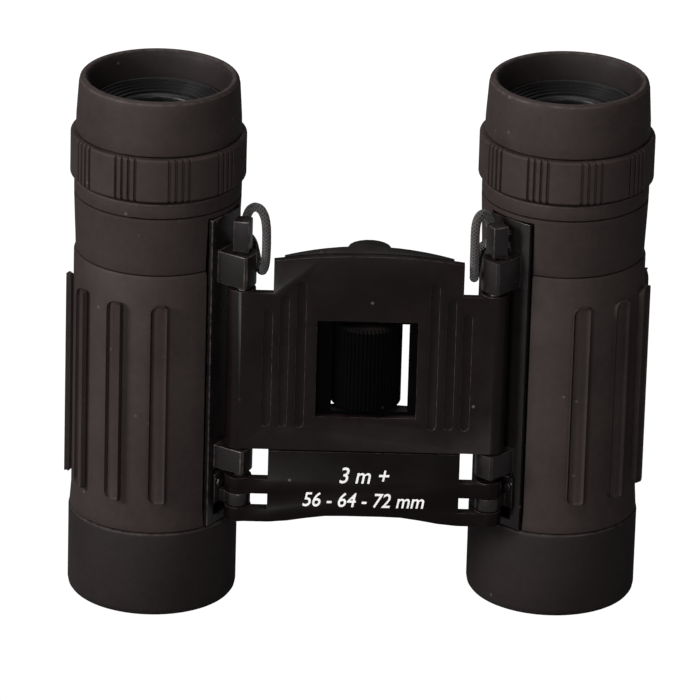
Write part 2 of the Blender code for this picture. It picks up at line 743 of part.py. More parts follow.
def make_strap_loop(side, look):
    """The short cord loop of the strap post, both its ends in the post's recess."""
    points = [Vector((side.inwards * x, y, z)) * MM for x, y, z in STRAP_ROUTE]
    curve = bpy.data.curves.new(side.name("strap_loop"), "CURVE")
    curve.dimensions = "3D"
    curve.bevel_depth = CORD_RADIUS * MM
    curve.bevel_resolution = 2
    curve.use_fill_caps = True
    route = smooth_route(points, CORD_POINTS_PER_LEG)
    spline = curve.splines.new("POLY")
    spline.points.add(len(route) - 1)
    for point, place in zip(spline.points, route):
        point.co = (*place, 1)
    curve.materials.append(look)
    loop = bpy.data.objects.new(side.name("strap_loop"), curve)
    bpy.context.collection.objects.link(loop)
    loop.parent = side.hinge


def make_barrel(side, looks):
    make_tube(side, looks["alloy"])
    make_armour(side, looks["rubber"])
    make_neck(side, looks["rubber"])
    make_seat_band(side, looks["rubber"])
    make_ring(side, looks["rubber"])
    make_eyecup(side, looks["rubber"])
    make_eyepiece(side, looks)
    make_prisms(side, looks)
    make_objective(side, looks)
    make_cap(side, looks["rubber"])
    make_focus_arm(side, looks)
    make_spine(side, looks["gloss"])
    make_hinge_pin(side, looks["steel"])
    make_strap_post(side, looks["gloss"])
    make_strap_loop(side, looks["cord"])


def main():
    clear_scene()
    looks = {
        "rubber": material("soft_black_rubber", (0.030, 0.026, 0.025), 0.62),
        "plastic": material("bridge_plastic", (0.026, 0.021, 0.021), 0.38),
        "gloss": material("hinge_plastic", (0.015, 0.012, 0.012), 0.25),
        "black": material("matt_black_plastic", (0.010, 0.010, 0.010), 0.55),
        "alloy": material("black_alloy", (0.040, 0.040, 0.042), 0.45, 0.8),
        "steel": material("bright_steel", (0.60, 0.60, 0.60), 0.25, 1.0),
        "glass": material("coated_glass", (0.20, 0.22, 0.30), 0.03, 0.0, 0.9),
        "cord": material("black_braid", (0.012, 0.012, 0.012), 0.80),
    }
    centre = empty("bridge", (BRIDGE_X, 0, 0))
    make_front_cover(looks["plastic"], centre)
    make_rear_cover(looks["plastic"], looks["steel"], centre)
    make_wheel(looks["black"], centre)
    make_shaft(looks["steel"], centre)
    make_plate(looks["plastic"], centre)
    make_fork_pins(looks["steel"], centre)
    make_barrel(Side("left", 1, 0.0), looks)
    make_barrel(Side("right", -1, REST_FOLD_RIGHT), looks)


main()
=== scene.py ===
"""Looks for compact folding binoculars: rubber barrels, a moulded bridge, a focus wheel and strap loops.

Sizes are in millimetres and are turned into metres as each piece is placed. Barrel axes, hinge axes and
heights come from the frame.
"""

import json
import math

import bmesh
import bpy
from mathutils import Matrix, Vector


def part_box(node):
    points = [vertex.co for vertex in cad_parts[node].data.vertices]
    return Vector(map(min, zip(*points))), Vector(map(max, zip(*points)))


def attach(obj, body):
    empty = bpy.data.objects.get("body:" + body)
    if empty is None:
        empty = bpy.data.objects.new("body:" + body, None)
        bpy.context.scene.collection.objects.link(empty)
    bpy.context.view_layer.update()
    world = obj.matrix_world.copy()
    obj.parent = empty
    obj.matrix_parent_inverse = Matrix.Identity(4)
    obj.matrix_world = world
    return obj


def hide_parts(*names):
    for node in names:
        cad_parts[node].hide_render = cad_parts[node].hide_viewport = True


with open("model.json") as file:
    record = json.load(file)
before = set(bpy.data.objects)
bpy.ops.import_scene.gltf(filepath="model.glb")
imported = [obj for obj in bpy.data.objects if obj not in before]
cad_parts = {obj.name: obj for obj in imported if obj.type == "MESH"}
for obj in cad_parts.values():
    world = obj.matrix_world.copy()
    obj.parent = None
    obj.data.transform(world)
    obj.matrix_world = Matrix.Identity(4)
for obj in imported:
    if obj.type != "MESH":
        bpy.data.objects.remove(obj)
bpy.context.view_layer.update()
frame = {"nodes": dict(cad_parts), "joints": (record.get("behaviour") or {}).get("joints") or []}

MM = 0.001
TURN_STEPS = 144
SMOOTH_ANGLE = math.radians(32)
MERGE_DISTANCE = 0.001
NODE_MERGE_DISTANCE = 0.002
FLAT_ANGLE = math.radians(1.0)
DRILL_PAST = 4.0

# Camera
CAMERA_DISTANCE = 1.3
CAMERA_AZIMUTH = math.radians(-0.69)
CAMERA_ELEVATION = math.radians(22.88)
CAMERA_ROLL = math.radians(1.64)
CAMERA_LENS = 360.15
CAMERA_REACH = 10.0
CAMERA_TARGET = Vector((-1.36, 0.53, 47.08)) * MM

# Studio, in metres and watts: each light's name, place, size and power
FLOOR_WHITE = 1.05
FLOOR_SIZE = 8.0
FLOOR_LEVEL = -0.0002
AIR_LIGHT = 0.03
LIGHTS = (
    ("key_softbox", (-1.35, -0.6, 0.75), 0.5, 30),
    ("front_softbox", (-0.5, -1.4, 0.5), 0.4, 10),
    ("fill_softbox", (0.7, -1.3, 0.6), 0.5, 5),
    ("edge_softbox", (-0.15, -0.55, 1.3), 0.2, 5),
    ("top_softbox", (-0.1, 0.5, 1.2), 0.8, 4),
)

# Barrels
OPEN_ANGLE = math.radians(57.0)
SKIN_INNER = 14.5
ARMOUR_RADIUS = 15.3
ARMOUR_FLARE = 0.25
SPINE_SLOT = (10.0, 22.0, 5.0)
RIB_COUNT = 6
RIB_FIRST = math.radians(-3.0)
RIB_STEP = math.radians(30.3)
RIB_WIDTH = 3.0
RIB_INNER = 14.8
RIB_OUTER = 16.1
RIB_Z = (23.2, 62.6)
CAP_RADIUS = 15.75
RING_RADIUS = 16.15
RING_BORE = 12.6
RING_STEPS = 800
RING_GROUPS = 10
GROOVE_STEPS = 5
RING_TURN = math.radians(7.3)
RING_GROOVES = 4
GROOVE_DEPTH = 0.45
SHADED_INSIDE_FACING = 0.5
RING_CHAMFER = 0.35
HOUSING_STEPS = 4
HOUSING_STEP_RADIUS = 11.6
HOUSING_STEP_WIDTH = 0.75
HOUSING_STEP_FALL = 0.3
LENS_STEPS = 8

# Focus wheel and the recess behind it
# Which rear-cover faces behind the window take the painted shade
RECESS_REACH = 9.5
JAMB_FACING = 0.7
FRONT_FACING = -0.5
WHEEL_CHAMFER = 0.5
FLUTE_STEPS = 4
WHEEL_RADIUS = 6.5
WHEEL_FLUTES = 54
WHEEL_BORE = 1.7
FLUTE_DEPTH = 0.22

# Print on the focus plate: words, letter size, and height of the line's foot
PRINT_LINES = (("3 m +", 4.5, 26.8), ("56 - 64 - 72 mm", 4.0, 22.0))
PRINT_SLANT = 0.22
PRINT_WEIGHT = 0.035
PRINT_NARROWING = 0.86
PRINT_THICKNESS = 0.02

# Each strap loop's centre line from the hinge axis: inwards, back and up
CORD_DIAMETER = 1.7
STRAP_ROUTE = (
    (0.25, 0.9, 75.4),
    (0.3, 2.0, 75.8),
    (0.5, 2.9, 76.9),
    (1.0, 3.2, 78.2),
    (1.9, 2.8, 79.1),
    (3.0, 1.9, 79.1),
    (3.8, 1.0, 78.1),
    (4.2, 0.2, 76.4),
    (4.3, -0.2, 74.2),
    (4.3, -0.2, 71.8),
    (4.2, 0.0, 69.6),
    (3.95, 0.7, 68.0),
    (3.6, 1.9, 67.0),
    (3.1, 3.2, 67.1),
    (2.6, 4.1, 68.3),
    (2.2, 4.5, 70.0),
    (1.7, 4.2, 71.8),
    (1.0, 3.2, 73.0),
    (0.25, 0.9, 73.4),
)


class Barrel:
    """Where one barrel is: its axis, its hinge and the way from one to the other."""

    def __init__(self, ending, inwards):
        self.ending = ending
        self.inwards = inwards
        self.body = f"barrel_{ending}"
        low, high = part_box(f"seat_band_{ending}")
        self.axis = ((low + high) / 2).xy / MM
        joint = next(j for j in frame["joints"] if j["child"] == self.body)
        self.hinge = Vector(joint["pos_m"]).xy / MM
        reach = self.hinge - self.axis
        self.to_hinge = math.atan2(reach.y, reach.x)
        self.turn = self.to_hinge - math.atan2(-math.cos(OPEN_ANGLE), inwards * math.sin(OPEN_ANGLE))

    def name(self, part):
        return f"{part}_{self.ending}"

    def outwards(self, angle):
        """The direction this far from the barrel's front towards its outer side."""
        return self.to_hinge - self.inwards * (OPEN_ANGLE + angle)


def heights(node):
    low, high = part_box(node)
    return low.z / MM, high.z / MM


# Camera and cords


def place_camera():
    around = Vector(
        (
            math.sin(CAMERA_AZIMUTH) * math.cos(CAMERA_ELEVATION),
            -math.cos(CAMERA_AZIMUTH) * math.cos(CAMERA_ELEVATION),
            math.sin(CAMERA_ELEVATION),
        )
    )
    level = Vector((0, 0, 1)).cross(around).normalized()
    upright = around.cross(level)
    right = level * math.cos(CAMERA_ROLL) + upright * math.sin(CAMERA_ROLL)
    above = upright * math.cos(CAMERA_ROLL) - level * math.sin(CAMERA_ROLL)
    data = bpy.data.cameras.new("product_camera")
    data.lens = CAMERA_LENS
    data.clip_end = CAMERA_REACH
    camera = bpy.data.objects.new("product_camera", data)
    bpy.context.scene.collection.objects.link(camera)
    place = Matrix((right, above, around)).transposed().to_4x4()
    place.translation = CAMERA_TARGET + around * CAMERA_DISTANCE
    camera.matrix_world = place
    bpy.context.scene.camera = camera


def smooth_route(points, per_leg):
    """Points along a smooth curve through the given ones."""
    ends = [points[0] * 2 - points[1], *points, points[-1] * 2 - points[-2]]
    route = []
    for before, start, stop, after in zip(ends, ends[1:], ends[2:], ends[3:]):
        for step in range(per_leg):
            t = step / per_leg
            swing = (stop - before) * t
            bend = (2 * before - 5 * start + 4 * stop - after) * t**2
            twist = (3 * start - before - 3 * stop + after) * t**3
            route.append(0.5 * (2 * start + swing + bend + twist))
    return [*route, points[-1]]


def make_strap_loop(barrel, look):
    turn = Matrix.Rotation(barrel.turn, 3, "Z")
    hinge = Vector((*barrel.hinge, 0))
    points = [(hinge + turn @ Vector((barrel.inwards * x, y, z))) * MM for x, y, z in STRAP_ROUTE]
    curve = bpy.data.curves.new(barrel.name("braided_loop"), "CURVE")
    curve.dimensions = "3D"
    curve.bevel_depth = CORD_DIAMETER / 2 * MM
    curve.bevel_resolution = 5
    curve.use_fill_caps = True
    route = smooth_route(points, 4)
    spline = curve.splines.new("POLY")
    spline.points.add(len(route) - 1)
    for point, place in zip(spline.points, route):
        point.co = (*place, 1)
    loop = bpy.data.objects.new(barrel.name("braided_loop"), curve)
    bpy.context.scene.collection.objects.link(loop)
    dress(loop, look, "cord", barrel.body, barrel.name("strap_loop"))


# Ways of making a piece


def start_editing(piece):
    bpy.ops.object.select_all(action="DESELECT")
    piece.select_set(True)
    bpy.context.view_layer.objects.active = piece
    bpy.ops.object.mode_set(mode="EDIT")
    bpy.ops.mesh.select_all(action="DESELECT")


def stop_editing():
    bpy.ops.object.mode_set(mode="OBJECT")


def select_verts(piece, wanted):
    """Selects the vertices whose number and place the test accepts."""
    shape = bmesh.from_edit_mesh(piece.data)
    shape.verts.ensure_lookup_table()
    for index, vert in enumerate(shape.verts):
        vert.select = bool(wanted(index, vert.co))
    shape.select_flush_mode()
    bmesh.update_edit_mesh(piece.data)


def select_edges(piece, wanted):
    shape = bmesh.from_edit_mesh(piece.data)
    for edge in shape.edges:
        edge.select = bool(wanted(edge.verts[0].co, edge.verts[1].co))
    shape.select_flush_mode()
    bmesh.update_edit_mesh(piece.data)


def new_piece(name):
    piece = bpy.context.active_object
    piece.name = name
    piece.data.name = name
    return piece


def apply_modifier(piece, modifier):
    bpy.ops.object.select_all(action="DESELECT")
    piece.select_set(True)
    bpy.context.view_layer.objects.active = piece
    bpy.ops.object.modifier_apply(modifier=modifier.name)


def soften_edges(piece, width, segments=3):
    """Rounds every sharp edge, so that it catches a highlight, and marks the rounded faces for edge wear
    and, on the plastic, a painted highlight.
    """
    piece.data.materials.clear()
    for _ in range(2):
        piece.data.materials.append(None)
    bevel = piece.modifiers.new("soft_edges", "BEVEL")
    bevel.width = width * MM
    bevel.segments = segments
    bevel.limit_method = "ANGLE"
    bevel.angle_limit = SMOOTH_ANGLE
    bevel.material = 1
    apply_modifier(piece, bevel)
    rubbed_and_highlit = piece.data.attributes.new("rubbed_and_highlit", "FLOAT", "FACE")
    for face in piece.data.polygons:
        rubbed_and_highlit.data[face.index].value = face.material_index
        face.material_index = 0
    smooth(piece)


def smooth(piece):
    bpy.ops.object.select_all(action="DESELECT")
    piece.select_set(True)
    bpy.context.view_layer.objects.active = piece
    bpy.ops.object.shade_smooth_by_angle(angle=SMOOTH_ANGLE)


def cut_away(piece, cutter):
    cut = piece.modifiers.new("cut", "BOOLEAN")
    cut.object = cutter
    cut.operation = "DIFFERENCE"
    cut.solver = "EXACT"
    apply_modifier(piece, cut)
    bpy.data.objects.remove(cutter, do_unlink=True)


def join(piece, others):
    bpy.ops.object.select_all(action="DESELECT")
    for other in others:
        other.select_set(True)
    piece.select_set(True)
    bpy.context.view_layer.objects.active = piece
    bpy.ops.object.join()


def settle(piece):
    """Puts the piece's place into its mesh."""
    bpy.ops.object.select_all(action="DESELECT")
    piece.select_set(True)
    bpy.context.view_layer.objects.active = piece
    bpy.ops.object.transform_apply(location=True, rotation=True, scale=True)


def lathe(name, outline, axis, steps=TURN_STEPS):
    """Extrudes a vertex along an outline of radius and height, then spins it about the axis."""
    bpy.ops.object.select_all(action="DESELECT")
    bpy.ops.mesh.primitive_plane_add(size=MM)
    piece = new_piece(name)
    centre = Vector((*axis, 0)) * MM
    points = [centre + Vector((radius, 0, height)) * MM for radius, height in outline]
    start_editing(piece)
    bpy.ops.mesh.select_all(action="SELECT")
    bpy.ops.mesh.merge(type="CENTER")
    bpy.ops.transform.translate(value=points[0])
    for before, after in zip(points, points[1:]):
        bpy.ops.mesh.extrude_region_move(TRANSFORM_OT_translate={"value": after - before})
    if outline[0][0] and outline[-1][0]:
        last = len(points) - 1
        select_verts(piece, lambda index, _: index in (0, last))
        bpy.ops.mesh.edge_face_add()
    bpy.ops.mesh.select_all(action="SELECT")
    bpy.ops.mesh.spin(steps=steps, angle=2 * math.pi, center=centre, axis=(0, 0, 1))
    bpy.ops.mesh.select_all(action="SELECT")
    bpy.ops.mesh.remove_doubles(threshold=MERGE_DISTANCE * MM)
    bpy.ops.mesh.normals_make_consistent(inside=False)
    stop_editing()
    return piece


def cutting_box(centre, size, turn=0.0):
    bpy.ops.object.select_all(action="DESELECT")
    bpy.ops.mesh.primitive_cube_add(size=1, location=Vector(centre) * MM, rotation=(0, 0, turn))
    cutter = new_piece("cutter")
    cutter.scale = Vector(size) * MM
    settle(cutter)
    return cutter


def from_node(name, node, width, segments=3):
    """A copy of a moulded node with its triangles merged into flats and its edges rounded."""
    source = frame["nodes"][node]
    piece = bpy.data.objects.new(name, source.data.copy())
    piece.data.materials.clear()
    bpy.context.scene.collection.objects.link(piece)
    start_editing(piece)
    bpy.ops.mesh.select_all(action="SELECT")
    bpy.ops.mesh.remove_doubles(threshold=NODE_MERGE_DISTANCE * MM)
    bpy.ops.mesh.dissolve_limited(angle_limit=FLAT_ANGLE)
    stop_editing()
    soften_edges(piece, width, segments)
    return piece


def fluted(name, radius, z_range, steps, depth, in_groove, axis, chamfer, turn=0.0):
    """An upright cylinder whose wall has grooves, with a chamfer at each end, turned about its axis."""
    low, high = z_range
    centre = Vector((*axis, low)) * MM
    bpy.ops.object.select_all(action="DESELECT")
    bpy.ops.mesh.primitive_circle_add(
        vertices=steps,
        radius=(radius - chamfer) * MM,
        fill_type="NGON",
        location=centre,
        rotation=(0, 0, turn),
    )
    piece = new_piece(name)
    settle(piece)
    start_editing(piece)
    select_verts(piece, lambda index, _: in_groove(index))
    shrink = (radius - depth) / radius
    bpy.ops.transform.resize(value=(shrink, shrink, 1), center_override=centre)
    bpy.ops.mesh.select_all(action="SELECT")
    grow = radius / (radius - chamfer)
    for rise, scale in ((chamfer, grow), (high - low - 2 * chamfer, 1), (chamfer, 1 / grow)):
        bpy.ops.mesh.extrude_region_move(TRANSFORM_OT_translate={"value": (0, 0, rise * MM)})
        bpy.ops.transform.resize(value=(scale, scale, 1), center_override=centre)
    bpy.ops.mesh.select_all(action="SELECT")
    bpy.ops.mesh.normals_make_consistent(inside=False)
    stop_editing()
    return piece


def bore_out(piece, radius, axis, z_range):
    low, high = z_range
    bpy.ops.object.select_all(action="DESELECT")
    bpy.ops.mesh.primitive_cylinder_add(
        vertices=TURN_STEPS,
        radius=radius * MM,
        depth=(high - low + DRILL_PAST) * MM,
        location=Vector((*axis, (low + high) / 2)) * MM,
    )
    drill = new_piece("drill")
    settle(drill)
    cut_away(piece, drill)


def dress(piece, look, slot, body, *nodes):
    """Gives a piece its material, its body and the nodes it stands for; the slot argument is not used."""
    piece.data.materials.clear()
    piece.data.materials.append(look)
    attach(piece, body)
    if nodes:
        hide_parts(*nodes)


# Node groups


def new_group(name, inputs, outputs):
    """A group with its inputs as (name, kind, value) and outputs as (name, kind)."""
    group = bpy.data.node_groups.new(name, "ShaderNodeTree")
    for label, kind, value in inputs:
        socket = group.interface.new_socket(label, in_out="INPUT", socket_type=f"NodeSocket{kind}")
        socket.default_value = value
    for label, kind in outputs:
        group.interface.new_socket(label, in_out="OUTPUT", socket_type=f"NodeSocket{kind}")
    return group, group.nodes.new("NodeGroupInput"), group.nodes.new("NodeGroupOutput")


def math_node(tree, operation, first, second=0.5, clamp=False):
    node = tree.nodes.new("ShaderNodeMath")
    node.operation = operation
    node.use_clamp = clamp
    for socket, value in zip(node.inputs, (first, second)):
        if isinstance(value, (int, float)):
            socket.default_value = value
        else:
            tree.links.new(value, socket)
    return node.outputs[0]


def remap(tree, value, from_low, from_high, to_low=0.0, to_high=1.0):
    node = tree.nodes.new("ShaderNodeMapRange")
    tree.links.new(value, node.inputs["Value"])
    for label, setting in (
        ("From Min", from_low),
        ("From Max", from_high),
        ("To Min", to_low),
        ("To Max", to_high),
    ):
        if isinstance(setting, (int, float)):
            node.inputs[label].default_value = setting
        else:
            tree.links.new(setting, node.inputs[label])
    return node.outputs["Result"]


def mix_colour(tree, factor, first, second):
    node = tree.nodes.new("ShaderNodeMix")
    node.data_type = "RGBA"
    for socket, value in ((node.inputs[0], factor), (node.inputs[6], first), (node.inputs[7], second)):
        if isinstance(value, (float, tuple)):
            socket.default_value = value
        else:
            tree.links.new(value, socket)
    return node.outputs[2]


def noise(tree, where, scale, detail=4.0):
    node = tree.nodes.new("ShaderNodeTexNoise")
    tree.links.new(where, node.inputs["Vector"])
    node.inputs["Detail"].default_value = detail
    if isinstance(scale, (int, float)):
        node.inputs["Scale"].default_value = scale
    else:
        tree.links.new(scale, node.inputs["Scale"])
    return node.outputs["Fac"]


def object_place(tree):
    return tree.nodes.new("ShaderNodeTexCoord").outputs["Object"]


def mottle_group():
    """Slow change between two colours, as moulded rubber and plastic have."""
    group, given, made = new_group(
        "mottle",
        [("Dark", "Color", (0, 0, 0, 1)), ("Light", "Color", (0, 0, 0, 1)), ("Scale", "Float", 90.0)],
        [("Colour", "Color")],
    )
    place = object_place(group)
    broad = noise(group, place, given.outputs["Scale"], 3.0)
    fine = noise(group, place, math_node(group, "MULTIPLY", given.outputs["Scale"], 9.0), 5.0)
    both = math_node(group, "ADD", broad, math_node(group, "MULTIPLY", fine, 0.6))
    amount = remap(group, both, 0.55, 1.05)
    colour = mix_colour(group, amount, given.outputs["Dark"], given.outputs["Light"])
    group.links.new(colour, made.inputs["Colour"])
    return group


def grain_group():
    """The fine pebbled grain of a mould, as a height and a roughness."""
    group, given, made = new_group(
        "grain",
        [("Scale", "Float", 2500.0), ("Roughness", "Float", 0.6), ("Spread", "Float", 0.1)],
        [("Height", "Float"), ("Roughness", "Float")],
    )
    place = object_place(group)
    pebble = group.nodes.new("ShaderNodeTexVoronoi")
    pebble.feature = "SMOOTH_F1"
    group.links.new(place, pebble.inputs["Vector"])
    group.links.new(given.outputs["Scale"], pebble.inputs["Scale"])
    fine = noise(group, place, math_node(group, "MULTIPLY", given.outputs["Scale"], 1.7), 3.0)
    height = math_node(group, "ADD", pebble.outputs["Distance"], math_node(group, "MULTIPLY", fine, 0.7))
    group.links.new(height, made.inputs["Height"])
    patchy = remap(group, noise(group, place, 160.0, 5.0), 0.3, 0.7, -1.0, 1.0)
    spread = math_node(group, "MULTIPLY", patchy, given.outputs["Spread"])
    rough = math_node(group, "ADD", given.outputs["Roughness"], spread, clamp=True)
    group.links.new(rough, made.inputs["Roughness"])
    return group


def edge_wear_group():
    """Handling wear on the rounded edges, together with a painted highlight along them, broken up by noise.
    """
    group, given, made = new_group("edge_wear_and_highlight", [("Amount", "Float", 0.5)], [("Mask", "Float")])
    marked = group.nodes.new("ShaderNodeAttribute")
    marked.attribute_name = "rubbed_and_highlit"
    broken = remap(group, noise(group, object_place(group), 700.0, 6.0), 0.35, 0.65)
    worn_and_highlit = math_node(group, "MULTIPLY", marked.outputs["Fac"], broken)
    group.links.new(math_node(group, "MULTIPLY", worn_and_highlit, given.outputs["Amount"]), made.inputs["Mask"])
    return group


def dust_group():
    """Sparse pale specks and a thin film on what faces up."""
    group, given, made = new_group(
        "dust",
        [("Scale", "Float", 420.0), ("Specks", "Float", 0.5), ("Film", "Float", 0.1)],
        [("Mask", "Float")],
    )
    place = object_place(group)
    cells = group.nodes.new("ShaderNodeTexVoronoi")
    group.links.new(place, cells.inputs["Vector"])
    group.links.new(given.outputs["Scale"], cells.inputs["Scale"])
    near = remap(group, cells.outputs["Distance"], 0.16, 0.05)
    chance = group.nodes.new("ShaderNodeSeparateColor")
    group.links.new(cells.outputs["Color"], chance.inputs[0])
    rare = math_node(group, "GREATER_THAN", chance.outputs[0], 0.94)
    specks = math_node(group, "MULTIPLY", math_node(group, "MULTIPLY", near, rare), given.outputs["Specks"])
    facing = group.nodes.new("ShaderNodeSeparateXYZ")
    group.links.new(group.nodes.new("ShaderNodeNewGeometry").outputs["Normal"], facing.inputs[0])
    upwards = remap(group, facing.outputs["Z"], 0.4, 1.0)
    cloudy = remap(group, noise(group, place, 240.0, 6.0), 0.4, 0.7)
    settled = math_node(group, "MULTIPLY", upwards, cloudy)
    film = math_node(group, "MULTIPLY", settled, given.outputs["Film"])
    group.links.new(math_node(group, "ADD", specks, film, clamp=True), made.inputs["Mask"])
    return group


def scratch_group():
    """Fine upright scratches, as a mask."""
    group, given, made = new_group(
        "scratches", [("Scale", "Float", 900.0), ("Amount", "Float", 0.3)], [("Mask", "Float")]
    )
    stretch = group.nodes.new("ShaderNodeMapping")
    stretch.inputs["Scale"].default_value = (1.0, 1.0, 0.04)
    group.links.new(object_place(group), stretch.inputs["Vector"])
    lines = noise(group, stretch.outputs["Vector"], given.outputs["Scale"], 3.0)
    thin = remap(group, lines, 0.62, 0.7)
    group.links.new(math_node(group, "MULTIPLY", thin, given.outputs["Amount"]), made.inputs["Mask"])
    return group


def braid_group():
    """Two sets of slanted strands crossing each other."""
    group, given, made = new_group("braid", [("Scale", "Float", 900.0)], [("Height", "Float")])
    place = object_place(group)
    strands = []
    for slant in (1.0, -1.0):
        turned = group.nodes.new("ShaderNodeMapping")
        turned.inputs["Rotation"].default_value = (0.0, slant * math.radians(38), slant * math.radians(30))
        group.links.new(place, turned.inputs["Vector"])
        wave = group.nodes.new("ShaderNodeTexWave")
        wave.bands_direction = "Z"
        wave.inputs["Distortion"].default_value = 0.6
        group.links.new(turned.outputs["Vector"], wave.inputs["Vector"])
        group.links.new(given.outputs["Scale"], wave.inputs["Scale"])
        strands.append(wave.outputs["Fac"])
    group.links.new(math_node(group, "MAXIMUM", *strands), made.inputs["Height"])
    return group


# Materials


class Finish:
    """A material under construction, with its shader and its shared groups."""

    def __init__(self, name):
        self.material = bpy.data.materials.new(name)
        self.material.use_nodes = True
        self.tree = self.material.node_tree
        self.shader = self.tree.nodes["Principled BSDF"]

    def set(self, **values):
        for label, value in values.items():
            self.shader.inputs[label.replace("_", " ")].default_value = value

    def group(self, name, **values):
        node = self.tree.nodes.new("ShaderNodeGroup")
        node.node_tree = groups[name]
        for label, value in values.items():
            node.inputs[label].default_value = value
        return node.outputs

    def link(self, source, label):
        self.tree.links.new(source, self.shader.inputs[label])

    def bump(self, height, depth, strength=0.6):
        node = self.tree.nodes.new("ShaderNodeBump")
        node.inputs["Strength"].default_value = strength
        node.inputs["Distance"].default_value = depth * MM
        self.tree.links.new(height, node.inputs["Height"])
        self.link(node.outputs["Normal"], "Normal")


WORN_RUBBER = (0.055, 0.044, 0.041, 1)
# Lighter plastic edge colour: handling wear and a painted highlight along the rounded edges
WORN_AND_HIGHLIT_PLASTIC = (0.085, 0.066, 0.062, 1)
DUST_COLOUR = (0.16, 0.13, 0.12, 1)


def moulded(name, dark, light, roughness, spread, grain, depth, worn_and_highlit, wear, dust, specular=0.4, film=0.05):
    """Moulded rubber or plastic: mottled, grained, with handling wear at its edges and, on the plastic, a
    painted edge highlight there, and lightly dusty.
    """
    finish = Finish(name)
    tree = finish.tree
    colour = finish.group("mottle", Dark=(*dark, 1), Light=(*light, 1), Scale=90.0)["Colour"]
    # The rounded edges take a lighter colour: handling wear, and on the plastic a painted highlight
    rubbed_and_highlit = finish.group("edge_wear_and_highlight", Amount=wear)["Mask"]
    colour = mix_colour(tree, rubbed_and_highlit, colour, worn_and_highlit)
    specks = finish.group("dust", Scale=420.0, Specks=dust, Film=film)["Mask"]
    colour = mix_colour(tree, specks, colour, DUST_COLOUR)
    finish.link(colour, "Base Color")
    surface = finish.group("grain", Scale=grain, Roughness=roughness, Spread=spread)
    duller = math_node(tree, "MULTIPLY", specks, 0.4)
    dull = math_node(tree, "ADD", surface["Roughness"], duller, clamp=True)
    finish.link(dull, "Roughness")
    finish.set(Specular_IOR_Level=specular)
    finish.bump(surface["Height"], depth)
    return finish.material


def armour_rubber():
    return moulded(
        "armour_rubber", (0.0170, 0.0112, 0.0105), (0.0255, 0.0175, 0.0165), 0.70, 0.07, 3200.0, 0.02,
        WORN_RUBBER, 0.5, 0.35, specular=0.20,
    )


def grip_rubber():
    return moulded(
        "grip_rubber", (0.0185, 0.0124, 0.0117), (0.0280, 0.0195, 0.0184), 0.66, 0.07, 3800.0, 0.015,
        WORN_RUBBER, 0.6, 0.35, specular=0.20,
    )


def cap_rubber():
    return moulded(
        "cap_rubber", (0.0075, 0.0047, 0.0045), (0.0120, 0.0080, 0.0076), 0.66, 0.08, 2900.0, 0.02,
        WORN_RUBBER, 0.5, 0.3, specular=0.20,
    )


def bridge_plastic():
    return moulded(
        "bridge_plastic", (0.0042, 0.0022, 0.0022), (0.0072, 0.0040, 0.0040), 0.34, 0.07, 4200.0, 0.008,
        WORN_AND_HIGHLIT_PLASTIC, 0.8, 0.5, specular=0.2,
    )


# A darker copy of the bridge plastic for the focus plate, as painted shade
def plate_shaded_plastic():
    return moulded(
        "plate_shaded_plastic", (0.0026, 0.0014, 0.0014), (0.0045, 0.0025, 0.0025), 0.36, 0.07, 4200.0, 0.008,
        WORN_AND_HIGHLIT_PLASTIC, 0.8, 0.5, specular=0.12,
    )


def rear_plastic():
    return moulded(
        "rear_plastic", (0.0050, 0.0034, 0.0034), (0.0080, 0.0056, 0.0056), 0.50, 0.08, 3800.0, 0.01,
        WORN_AND_HIGHLIT_PLASTIC, 0.2, 0.3, specular=0.2,
    )


def hinge_plastic():
    return moulded(
        "hinge_plastic", (0.0045, 0.0030, 0.0030), (0.0080, 0.0056, 0.0056), 0.30, 0.06, 4500.0, 0.006,
        WORN_AND_HIGHLIT_PLASTIC, 0.8, 0.4, specular=0.5,
    )


def wheel_plastic():
    return moulded(
        "wheel_plastic", (0.0008, 0.0007, 0.0007), (0.0018, 0.0015, 0.0015), 0.6, 0.08, 3600.0, 0.01,
        WORN_RUBBER, 0.0, 0.08, specular=0.02,
    )


def eyepiece_black():
    return moulded(
        "eyepiece_black", (0.0028, 0.0022, 0.0022), (0.0050, 0.0040, 0.0040), 0.45, 0.06, 4200.0, 0.006,
        WORN_AND_HIGHLIT_PLASTIC, 0.3, 0.2, specular=0.4, film=0.0,
    )


def metal(name, dark, light, roughness, spread):
    """Metal with fine upright scratches."""
    finish = Finish(name)
    tree = finish.tree
    colour = finish.group("mottle", Dark=(*dark, 1), Light=(*light, 1), Scale=200.0)["Colour"]
    lines = finish.group("scratches", Scale=1400.0, Amount=0.35)["Mask"]
    finish.link(mix_colour(tree, lines, colour, (*light, 1)), "Base Color")
    surface = finish.group("grain", Scale=5000.0, Roughness=roughness, Spread=spread)
    rougher = math_node(tree, "MULTIPLY", lines, 0.2)
    rough = math_node(tree, "ADD", surface["Roughness"], rougher, clamp=True)
    finish.link(rough, "Roughness")
    finish.set(Metallic=1.0)
    finish.bump(lines, 0.004)
    return finish.material


def black_alloy():
    return metal("black_alloy", (0.030, 0.029, 0.030), (0.055, 0.053, 0.055), 0.42, 0.08)


def bright_steel():
    return metal("bright_steel", (0.50, 0.49, 0.48), (0.72, 0.71, 0.70), 0.25, 0.08)


def coated_lens():
    """Lens glass with a dark coating and faint smears."""
    finish = Finish("coated_lens")
    colour = finish.group("mottle", Dark=(0.35, 0.33, 0.52, 1), Light=(0.42, 0.45, 0.58, 1), Scale=60.0)
    finish.link(colour["Colour"], "Base Color")
    smears = finish.group("grain", Scale=700.0, Roughness=0.03, Spread=0.02)
    finish.link(smears["Roughness"], "Roughness")
    finish.set(Transmission_Weight=0.85, IOR=1.52)
    return finish.material


